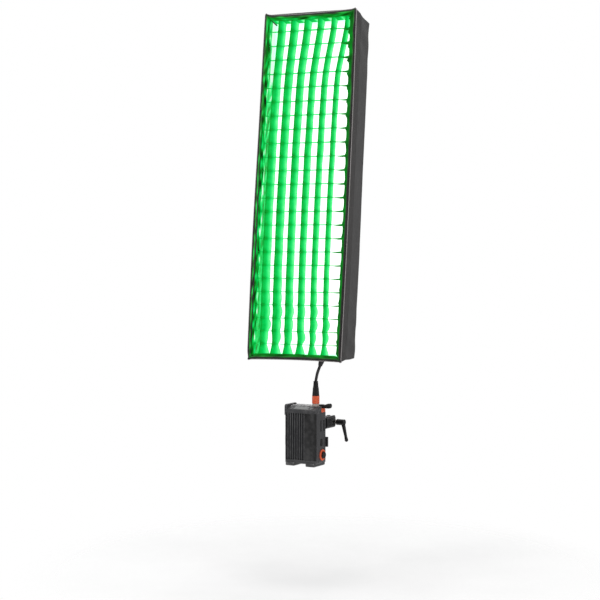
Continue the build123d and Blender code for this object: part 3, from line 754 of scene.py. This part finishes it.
def mix_colour(tree, share, first, second, **settings):
    inputs = {"Factor": share, 6: first, 7: second}
    return put(tree, "ShaderNodeMix", inputs, data_type="RGBA", **settings).outputs[2]


def ramp(tree, factor, stops):
    n = put(tree, "ShaderNodeValToRGB", {"Fac": factor})
    items = n.color_ramp.elements
    while len(items) < len(stops):
        items.new(0.5)
    for item, (place, colour) in zip(items, stops):
        item.position = place
        item.color = colour
    return n.outputs["Color"]


def grey(value):
    return (value, value, value, 1.0)


def noise_node(tree, where, scale, detail=3.0, rough=0.55):
    inputs = {"Vector": where, "Scale": scale, "Detail": detail, "Roughness": rough}
    return put(tree, "ShaderNodeTexNoise", inputs).outputs["Fac"]


def part_of(tree, where, axis):
    return put(tree, "ShaderNodeSeparateXYZ", {0: where}).outputs[axis]


def waves(tree, where, axis, pitch, kind="SINE"):
    """A wave between -1 and 1 along one axis."""
    turn = math_node(tree, "MULTIPLY", part_of(tree, where, axis), 2 * math.pi / pitch)
    return math_node(tree, kind, turn)


def weave(tree, where, pitch):
    """Height of a plain weave: threads over and under each other."""
    return math_node(tree, "MULTIPLY", waves(tree, where, 0, pitch), waves(tree, where, 1, pitch))


def rib_lines(tree, where, axis):
    """Thin raised threads at a wider pitch, as in ripstop."""
    wave = math_node(tree, "MULTIPLY_ADD", waves(tree, where, axis, 0.005, "COSINE"), 0.5, 0.5)
    return math_node(tree, "POWER", wave, 40.0)


def distance_from(tree, value, place):
    """How far a value is from a place, as a node."""
    return math_node(tree, "ABSOLUTE", math_node(tree, "SUBTRACT", value, place))


def stitch_rows(tree, where, places):
    """Rows of stitches along the rim, each at its distance across the cloth."""
    across = part_of(tree, where, 1)
    dash = math_node(tree, "GREATER_THAN", waves(tree, where, 0, 0.0034), -0.35)
    rows = 0.0
    for place in places:
        near = math_node(tree, "LESS_THAN", distance_from(tree, across, place), 0.0006)
        rows = math_node(tree, "MAXIMUM", rows, math_node(tree, "MULTIPLY", near, dash))
    return rows


class Finish:
    """One material, built up from its colour, gloss and relief."""

    def __init__(self, name):
        self.material = bpy.data.materials.new(name)
        self.material.use_nodes = True
        self.tree = self.material.node_tree
        self.tree.nodes.clear()
        self.out = self.tree.nodes.new("ShaderNodeOutputMaterial")
        self.shader = self.tree.nodes.new("ShaderNodeBsdfPrincipled")
        self.tree.links.new(self.shader.outputs[0], self.out.inputs["Surface"])
        self.place = put(self.tree, "ShaderNodeTexCoord").outputs["Object"]

    def cloth(self):
        return put(self.tree, "ShaderNodeAttribute", attribute_name="cloth").outputs["Vector"]

    def lit(self):
        return put(self.tree, "ShaderNodeAttribute", attribute_name="lit").outputs["Fac"]

    def set(self, **values):
        for key, value in values.items():
            socket = self.shader.inputs[key.replace("_", " ")]
            if isinstance(value, bpy.types.NodeSocket):
                self.tree.links.new(value, socket)
            else:
                socket.default_value = value

    def bump(self, height, distance, strength=1.0):
        before = self.shader.inputs["Normal"].links
        inputs = {"Height": height, "Distance": distance, "Strength": strength}
        if before:
            inputs["Normal"] = before[0].from_socket
        n = put(self.tree, "ShaderNodeBump", inputs)
        self.tree.links.new(n.outputs[0], self.shader.inputs["Normal"])


def worn(f, colour, edge_colour, start=0.53, end=0.60):
    """A colour that lightens along worn edges and varies a little over the surface."""
    tree = f.tree
    point = put(tree, "ShaderNodeNewGeometry").outputs["Pointiness"]
    patch = noise_node(tree, f.place, 60.0, 4.0)
    edge, chance = map_range(tree, point, start, end), map_range(tree, patch, 0.42, 0.62)
    shade = map_range(tree, patch, 0.2, 0.8, 0.93, 1.07)
    tint = put(tree, "ShaderNodeCombineColor", {0: shade, 1: shade, 2: shade}).outputs[0]
    base = mix_colour(tree, 1.0, colour, tint, blend_type="MULTIPLY")
    return mix_colour(tree, math_node(tree, "MULTIPLY", edge, chance), base, edge_colour)


def moulded(name, colour, edge_colour, roughness):
    """Moulded plastic: a fine spark texture, uneven gloss and edges rubbed lighter."""
    f = Finish(name)
    patch = noise_node(f.tree, f.place, 35.0, 3.0)
    gloss = map_range(f.tree, patch, 0.3, 0.7, roughness - 0.07, roughness + 0.07)
    f.set(Base_Color=worn(f, colour, edge_colour), Roughness=gloss, Specular_IOR_Level=0.4)
    f.bump(noise_node(f.tree, f.place, 1100.0, 2.0), 0.00004, 0.6)
    return f.material


def coated(name, colour, edge_colour, roughness, peel=420.0):
    """Paint or powder coat on metal: orange peel, a little dust and bare metal at the edges."""
    f = Finish(name)
    dust = noise_node(f.tree, f.place, 14.0, 6.0, 0.7)
    gloss = map_range(f.tree, dust, 0.35, 0.7, roughness - 0.06, roughness + 0.12)
    f.set(Base_Color=worn(f, colour, edge_colour, 0.54, 0.64), Roughness=gloss)
    f.set(Specular_IOR_Level=0.45)
    f.bump(noise_node(f.tree, f.place, peel, 2.0), 0.00006, 0.5)
    return f.material


def bare_metal(name, colour, roughness, stretch):
    """Metal with fine drawn lines and uneven gloss."""
    f = Finish(name)
    where = put(f.tree, "ShaderNodeMapping", {"Vector": f.place, "Scale": stretch}).outputs[0]
    lines = noise_node(f.tree, where, 300.0, 4.0)
    gloss = map_range(f.tree, lines, 0.3, 0.7, roughness - 0.08, roughness + 0.1)
    darker = tuple(c * 0.7 for c in colour[:3]) + (1.0,)
    stain = noise_node(f.tree, f.place, 40.0, 5.0)
    f.set(Base_Color=ramp(f.tree, stain, [(0.3, darker), (0.7, colour)]), Roughness=gloss, Metallic=1.0)
    f.bump(lines, 0.00002, 0.5)
    return f.material


# The lamp's light on black cloth, from hardly lit to glaring.
GREENS = [
    (0.0, linear("011c04")),
    (0.16, linear("01500a")),
    (0.30, linear("028a1e")),
    (0.42, linear("00b23c")),
    (0.52, linear("00cf55")),
    (0.66, linear("22e872")),
    (0.80, linear("55ff8c")),
    (0.92, linear("a5ffc4")),
    (1.0, linear("e2ffec")),
]
HEM_GREENS = [
    (0.04, (0, 0, 0, 1)),
    (0.16, linear("013d08")),
    (0.28, linear("017012")),
    (0.42, linear("03a42c")),
    (0.60, linear("18d85a")),
]


def varied_light(f, noise_value, size):
    """The piece's own brightness, made uneven by a noise."""
    return math_node(f.tree, "MULTIPLY_ADD", math_node(f.tree, "SUBTRACT", noise_value, 0.5), size, f.lit())


def lit_cloth(name, pitch, crease):
    """Dark cloth that the lamp lights green: the glow follows the piece's own brightness."""
    f = Finish(name)
    cloth = f.cloth()
    fine = math_node(f.tree, "SUBTRACT", noise_node(f.tree, cloth, 260.0, 3.0), 0.5)
    stretched = put(f.tree, "ShaderNodeMapping", {"Vector": cloth, "Scale": (1.0, 0.35, 1.0)}).outputs[0]
    fold = noise_node(f.tree, stretched, 55.0, 4.0, 0.6)
    amount = math_node(f.tree, "MULTIPLY_ADD", fine, 0.10, varied_light(f, fold, crease))
    glow = ramp(f.tree, amount, GREENS)
    f.set(Base_Color=grey(0.006), Roughness=0.9, Specular_IOR_Level=0.05)
    f.set(Emission_Color=glow, Emission_Strength=1.0)
    f.bump(weave(f.tree, cloth, pitch), 0.00015, 0.6)
    return f.material


def skirt_cloth():
    """Black coated ripstop with stitched seams, with painted shade on the hem band and along the seam. The
    lining inside glows with the lamp's light, painted as emission.
    """
    f = Finish("skirt_cloth")
    tree, cloth = f.tree, f.cloth()
    across = part_of(tree, cloth, 1)
    inside_part = math_node(tree, "GREATER_THAN", across, LINING_START)
    hem = math_node(tree, "LESS_THAN", across, HEM_DEPTH)
    ribs = math_node(tree, "MAXIMUM", rib_lines(tree, cloth, 0), rib_lines(tree, cloth, 1))
    stitches = stitch_rows(tree, cloth, (0.0125, HEM_DEPTH - 0.0035, HEM_DEPTH + 0.0035, 0.136))
    tone = noise_node(tree, cloth, 16.0, 5.0, 0.6)
    shade = ramp(tree, tone, [(0.25, linear("3c3b3b")), (0.75, linear("4a4949"))])
    # Painted shade: the hem band in front of the seam takes a darker colour for the shade that falls on it.
    band = ramp(tree, tone, [(0.25, linear("2b2929")), (0.75, linear("393636"))])
    colour = mix_colour(tree, hem, shade, band)
    colour = mix_colour(tree, math_node(tree, "MULTIPLY", stitches, 0.8), colour, linear("5c5a5a"))
    # Painted shadow: the cloth darkens on either side of the seam, for the shade in its groove.
    off_seam = distance_from(tree, across, HEM_DEPTH + 0.0005)
    crease = map_range(tree, off_seam, 0.0012, 0.0034, 0.75, 0.0)
    colour = mix_colour(tree, crease, colour, linear("1c1b1b"))
    colour = mix_colour(tree, math_node(tree, "MULTIPLY", ribs, 0.35), colour, linear("545353"))
    colour = mix_colour(tree, inside_part, colour, grey(0.012))
    f.set(Base_Color=colour, Roughness=0.62, Specular_IOR_Level=0.35)
    f.set(Sheen_Weight=0.12, Sheen_Roughness=0.5)
    light = varied_light(f, noise_node(tree, cloth, 60.0, 4.0, 0.6), 0.5)
    f.set(Emission_Color=ramp(tree, light, GREENS), Emission_Strength=inside_part)
    f.bump(weave(tree, cloth, 0.0011), 0.00012, 0.5)
    f.bump(ribs, 0.00015, 0.6)
    f.bump(stitches, 0.0005, 1.0)
    f.bump(noise_node(tree, cloth, 45.0, 3.0), 0.0012, 0.35)
    return f.material


def flap_cloth():
    """Woven black cloth, with rows of stitches where it is sewn."""
    f = Finish("flap_cloth")
    tree, cloth = f.tree, f.cloth()
    tone = noise_node(tree, cloth, 30.0, 5.0, 0.6)
    stitches = stitch_rows(tree, cloth, (0.006, 0.048))
    colour = ramp(tree, tone, [(0.3, linear("2b2a2a")), (0.7, linear("3a3939"))])
    colour = mix_colour(tree, math_node(tree, "MULTIPLY", stitches, 0.8), colour, linear("5a5858"))
    f.set(Base_Color=colour, Roughness=0.72, Specular_IOR_Level=0.3, Sheen_Weight=0.15)
    f.bump(stitches, 0.0005, 1.0)
    f.bump(weave(tree, cloth, 0.0012), 0.0002, 0.7)
    f.bump(noise_node(tree, cloth, 70.0, 3.0), 0.0008, 0.35)
    return f.material


def hem_cloth():
    """The lip's black binding. Its inner edge catches the lamp."""
    f = Finish("hem_cloth")
    tree, cloth = f.tree, f.cloth()
    tone = noise_node(tree, cloth, 40.0, 4.0)
    colour = ramp(tree, tone, [(0.3, linear("1c1a1a")), (0.7, linear("2c2929"))])
    f.set(Base_Color=colour, Roughness=0.6, Specular_IOR_Level=0.3)
    f.set(Emission_Color=ramp(tree, f.lit(), HEM_GREENS), Emission_Strength=1.0)
    f.bump(weave(tree, cloth, 0.0016), 0.0003, 0.8)
    return f.material


def piping_painted_highlight():
    """A cord with a twist. Its pale grey is a painted highlight along the skirt's front edge."""
    f = Finish("piping_painted_highlight")
    twist = waves(f.tree, f.cloth(), 0, 0.0022)
    tone = map_range(f.tree, twist, -1.0, 1.0)
    # Painted highlight: these pale greys stand in for the light that the front edge catches.
    colour = ramp(f.tree, tone, [(0.0, linear("8a8686")), (1.0, linear("b5b0af"))])
    f.set(Base_Color=colour, Roughness=0.45)
    f.bump(twist, 0.0003, 0.7)
    return f.material


def diffuser_cloth():
    """White diffusion cloth, lit from behind and brighter than the picture can hold."""
    f = Finish("diffuser_cloth")
    tree, cloth = f.tree, f.cloth()
    tone = noise_node(tree, cloth, 9.0, 3.0)
    spread = math_node(tree, "MULTIPLY_ADD", tone, 0.25, f.lit())
    glow = ramp(tree, spread, [(0.10, linear("7dffae")), (0.45, linear("e4ffee")), (0.75, grey(1.0))])
    f.set(Base_Color=grey(0.8), Roughness=0.8, Emission_Color=glow, Emission_Strength=1.35)
    f.bump(weave(tree, cloth, 0.0014), 0.0002, 0.6)
    return f.material


def mat_cloth():
    """Woven black cloth with a darker bound edge."""
    f = Finish("mat_cloth")
    tree, cloth = f.tree, f.cloth()
    tone = noise_node(tree, cloth, 24.0, 5.0, 0.6)
    base = ramp(tree, tone, [(0.3, linear("1d1d1e")), (0.7, linear("2c2c2e"))])
    colour = mix_colour(tree, f.lit(), base, linear("151414"))
    f.set(Base_Color=colour, Roughness=0.68, Specular_IOR_Level=0.35, Sheen_Weight=0.1)
    f.bump(weave(tree, cloth, 0.0018), 0.0003, 0.8)
    f.bump(noise_node(tree, cloth, 50.0, 3.0), 0.0010, 0.3)
    return f.material


def screen_glass():
    """A glossy grey window."""
    f = Finish("screen_glass")
    tone = noise_node(f.tree, f.place, 25.0, 2.0)
    colour = ramp(f.tree, tone, [(0.3, linear("8b8e8e")), (0.7, linear("a4a7a6"))])
    f.set(Base_Color=colour, Roughness=0.12, Coat_Weight=0.6, Coat_Roughness=0.05)
    f.bump(noise_node(f.tree, f.place, 90.0, 2.0), 0.00005, 0.3)
    return f.material


def board_mask():
    """A circuit board's green mask with tinned spots."""
    f = Finish("board_mask")
    spots = put(f.tree, "ShaderNodeTexVoronoi", {"Vector": f.place, "Scale": 220.0}).outputs["Distance"]
    colours = [(0.2, linear("b08a4a")), (0.26, linear("0f4a26")), (1.0, linear("0b3a1d"))]
    f.set(Base_Color=ramp(f.tree, spots, colours), Roughness=0.35)
    f.bump(spots, 0.0003, 0.4)
    return f.material


def cable_jacket():
    """Slightly glossy black rubber."""
    f = Finish("cable_jacket")
    tone = noise_node(f.tree, f.place, 120.0, 4.0)
    colour = ramp(f.tree, tone, [(0.3, linear("161516")), (0.7, linear("242224"))])
    f.set(Base_Color=colour, Roughness=0.42, Specular_IOR_Level=0.5)
    f.bump(noise_node(f.tree, f.place, 900.0, 2.0), 0.00005, 0.5)
    return f.material


MATERIALS = {
    "anodised": bare_metal("anodised_black", linear("2f2f31"), 0.42, (1, 1, 6)),
    "steel": bare_metal("zinc_steel", linear("b9b7b4"), 0.30, (8, 1, 1)),
    "spring_steel": bare_metal("spring_steel", linear("39393a"), 0.40, (1, 6, 1)),
    "black_plastic": moulded("black_nylon", linear("1b1a1b"), linear("4a4848"), 0.46),
    "casting": coated("powder_coat", linear("222224"), linear("6d6c6c"), 0.48),
    "housing": coated("housing_paint", linear("29292b"), linear("5d5c5d"), 0.44, 600.0),
    "cap_plastic": moulded("cap_moulding", linear("474749"), linear("747374"), 0.42),
    "orange": moulded("orange_moulding", linear("ff6d42"), linear("ffb299"), 0.38),
    "pale_plastic": moulded("pale_moulding", linear("c9b9b0"), linear("e2dad4"), 0.5),
    "potting": moulded("potting", linear("202022"), linear("3a3a3a"), 0.6),
    "screen": screen_glass(),
    "board": board_mask(),
    "cable": cable_jacket(),
}

# Lighter and darker copies of the housing paint for some of its pieces. The fins' lighter paint is a
# painted highlight, so that they read light against the shade of their gaps; the side plate is lighter and
# the trim darker.
HOUSING_PAINT_COPIES = {
    # Painted highlight: the fins are painted lighter than the housing to stand in for the light that they
    # catch.
    "front_fins": coated("fin_painted_highlight", linear("434345"), linear("7a797a"), 0.40, 600.0),
    "side_plate": coated("side_paint", linear("4b4b4d"), linear("858485"), 0.46, 600.0),
    "front_trim": coated("trim_paint", linear("1f1f20"), linear("4a494a"), 0.36, 600.0),
}


def dress(thing, material):
    """Gives a piece its one material."""
    thing.data.materials.clear()
    thing.data.materials.append(material)
    return thing


def round_edges(thing, width):
    """Joins the imported facets and rounds the sharp edges a little."""
    join = thing.modifiers.new("weld", "WELD")
    join.merge_threshold = 0.00002
    bevel = thing.modifiers.new("bevel", "BEVEL")
    bevel.width = width
    bevel.segments = 2
    bevel.limit_method = "ANGLE"
    bevel.angle_limit = math.radians(40)
    bevel.use_clamp_overlap = True
    bevel.harden_normals = True
    thing.data.shade_smooth()


# Widths of the rounded edges where they differ from the usual, and the pieces that keep sharp ones.
EDGE = {"receiver": 0.0012, "clamp_body": 0.0012, "top_cap": 0.0012, "bottom_cap": 0.001}
EDGE |= {"tongue": 0.0008, "bracket_plate": 0.0008}
USUAL_EDGE = 0.0004
SHARP = ("control_board", "power_supply", "fan_frame", "fan_rotor", "display")


def dress_cad():
    """Materials and rounded edges for the CAD's hard pieces. Its soft ones are replaced later."""
    slots = {s["node"]: s["material_slot"] for s in frame["record"]["subparts"]}
    for name, thing in nodes.items():
        if slots[name] not in MATERIALS:
            continue
        dress(thing, HOUSING_PAINT_COPIES.get(name, MATERIALS[slots[name]]))
        if name not in SHARP:
            round_edges(thing, EDGE.get(name, USUAL_EDGE))


def dress_soft():
    """The softbox's cloth pieces, which all ride on the head."""
    skirt_piece = dress(skirt(), skirt_cloth())
    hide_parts("skirt_left", "skirt_right", "skirt_top", "skirt_bottom")
    hem = dress(front_hem(), hem_cloth())
    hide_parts("front_band")
    cord = dress(piping(), piping_painted_highlight())
    flap = dress(back_flap(), flap_cloth())
    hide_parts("back_flap")
    border = dress(grid_flange(), lit_cloth("grid_border_webbing", 0.0016, 0.20))
    ribbons = dress(grid(), lit_cloth("grid_ribbon_cloth", 0.0013, 0.16))
    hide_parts("grid")
    screen = dress(diffuser(), diffuser_cloth())
    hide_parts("diffuser")
    mat = dress(lamp_mat(), mat_cloth())
    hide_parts("led_mat")
    for piece in (skirt_piece, hem, cord, flap, border, ribbons, screen, mat):
        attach(piece, "head")


def dress_lead():
    """The lead between the two bodies."""
    cable, path = lead()
    dress(cable, MATERIALS["cable"])
    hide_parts("lead_upper", "lead_lower")
    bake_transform(cable)
    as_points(path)


# Studio --------------------------------------------------------------------


def aim(thing, place, target):
    thing.location = place
    thing.rotation_mode = "QUATERNION"
    thing.rotation_quaternion = (Vector(target) - Vector(place)).to_track_quat("-Z", "Y")


def soft_light(name, place, target, size, power):
    data = bpy.data.lights.new(name, "AREA")
    data.shape = "RECTANGLE"
    data.size, data.size_y = size
    data.energy = power
    thing = bpy.data.objects.new(name, data)
    bpy.context.scene.collection.objects.link(thing)
    aim(thing, place, target)


def studio():
    """A white room with large soft lights. What the camera sees of it is plain white."""
    world = bpy.data.worlds.new("studio")
    bpy.context.scene.world = world
    world.use_nodes = True
    tree = world.node_tree
    tree.nodes.clear()
    seen = put(tree, "ShaderNodeBackground", {"Color": grey(1.0), "Strength": 1.0})
    around = put(tree, "ShaderNodeBackground", {"Color": grey(1.0), "Strength": 0.36})
    ray = put(tree, "ShaderNodeLightPath").outputs["Is Camera Ray"]
    both = put(tree, "ShaderNodeMixShader", {0: ray, 1: around.outputs[0], 2: seen.outputs[0]})
    put(tree, "ShaderNodeOutputWorld", {"Surface": both.outputs[0]})
    soft_light("key", (-2.4, -3.2, 1.6), (0, 0, -0.1), (1.6, 2.2), 58)
    soft_light("side", (3.2, -1.2, 0.8), (0, 0, -0.2), (1.2, 2.4), 30)
    soft_light("back", (-1.6, 3.2, 1.4), (0, 0, 0), (1.8, 1.8), 34)
    soft_light("overhead", (0, 0, 3.2), (0, 0, 0), (3.0, 3.0), 90)


def floor():
    """A pale floor that fades out before it ends."""
    steps, reach, height = 12, 1.8, -1.32
    places = [reach * (2 * i / steps - 1) for i in range(steps + 1)]
    points = [(x, y, height) for x in places for y in places]
    faces = []
    for i in range(steps):
        for k in range(steps):
            a = i * (steps + 1) + k
            faces.append((a, a + steps + 1, a + steps + 2, a + 1))
    thing = new_object("floor", points, faces, matrix=Matrix.Identity(4))
    f = Finish("floor_paint")
    tone = noise_node(f.tree, f.place, 3.0, 4.0)
    colour = ramp(f.tree, tone, [(0.3, grey(0.93)), (0.7, grey(0.97))])
    f.set(Base_Color=colour, Roughness=0.9, Specular_IOR_Level=0.1)
    out = put(f.tree, "ShaderNodeVectorMath", {0: f.place}, operation="LENGTH").outputs["Value"]
    f.set(Alpha=map_range(f.tree, out, 1.35, 1.75, 1.0, 0.0))
    thing.data.materials.append(f.material)


def camera():
    """From 23 degrees to the right and just above level, with a long lens."""
    turn, lift, distance = math.radians(22.75), math.radians(2.205), 5.157
    right = Vector((math.cos(turn), math.sin(turn), 0))
    flat = math.cos(lift)
    back = Vector((math.sin(turn) * flat, -math.cos(turn) * flat, math.sin(lift)))
    target = PIVOT - 0.0835 * right + Vector((0, 0, -0.3948))
    data = bpy.data.cameras.new("camera")
    data.lens = 83.96
    data.sensor_width = 36.0
    data.clip_start, data.clip_end = 0.1, 100.0
    thing = bpy.data.objects.new("camera", data)
    bpy.context.scene.collection.objects.link(thing)
    aim(thing, target + back * distance, target)
    bpy.context.scene.camera = thing


camera()
dress_cad()
dress_soft()
dress_lead()
studio()
floor()
bpy.context.scene.view_settings.view_transform = "Standard"
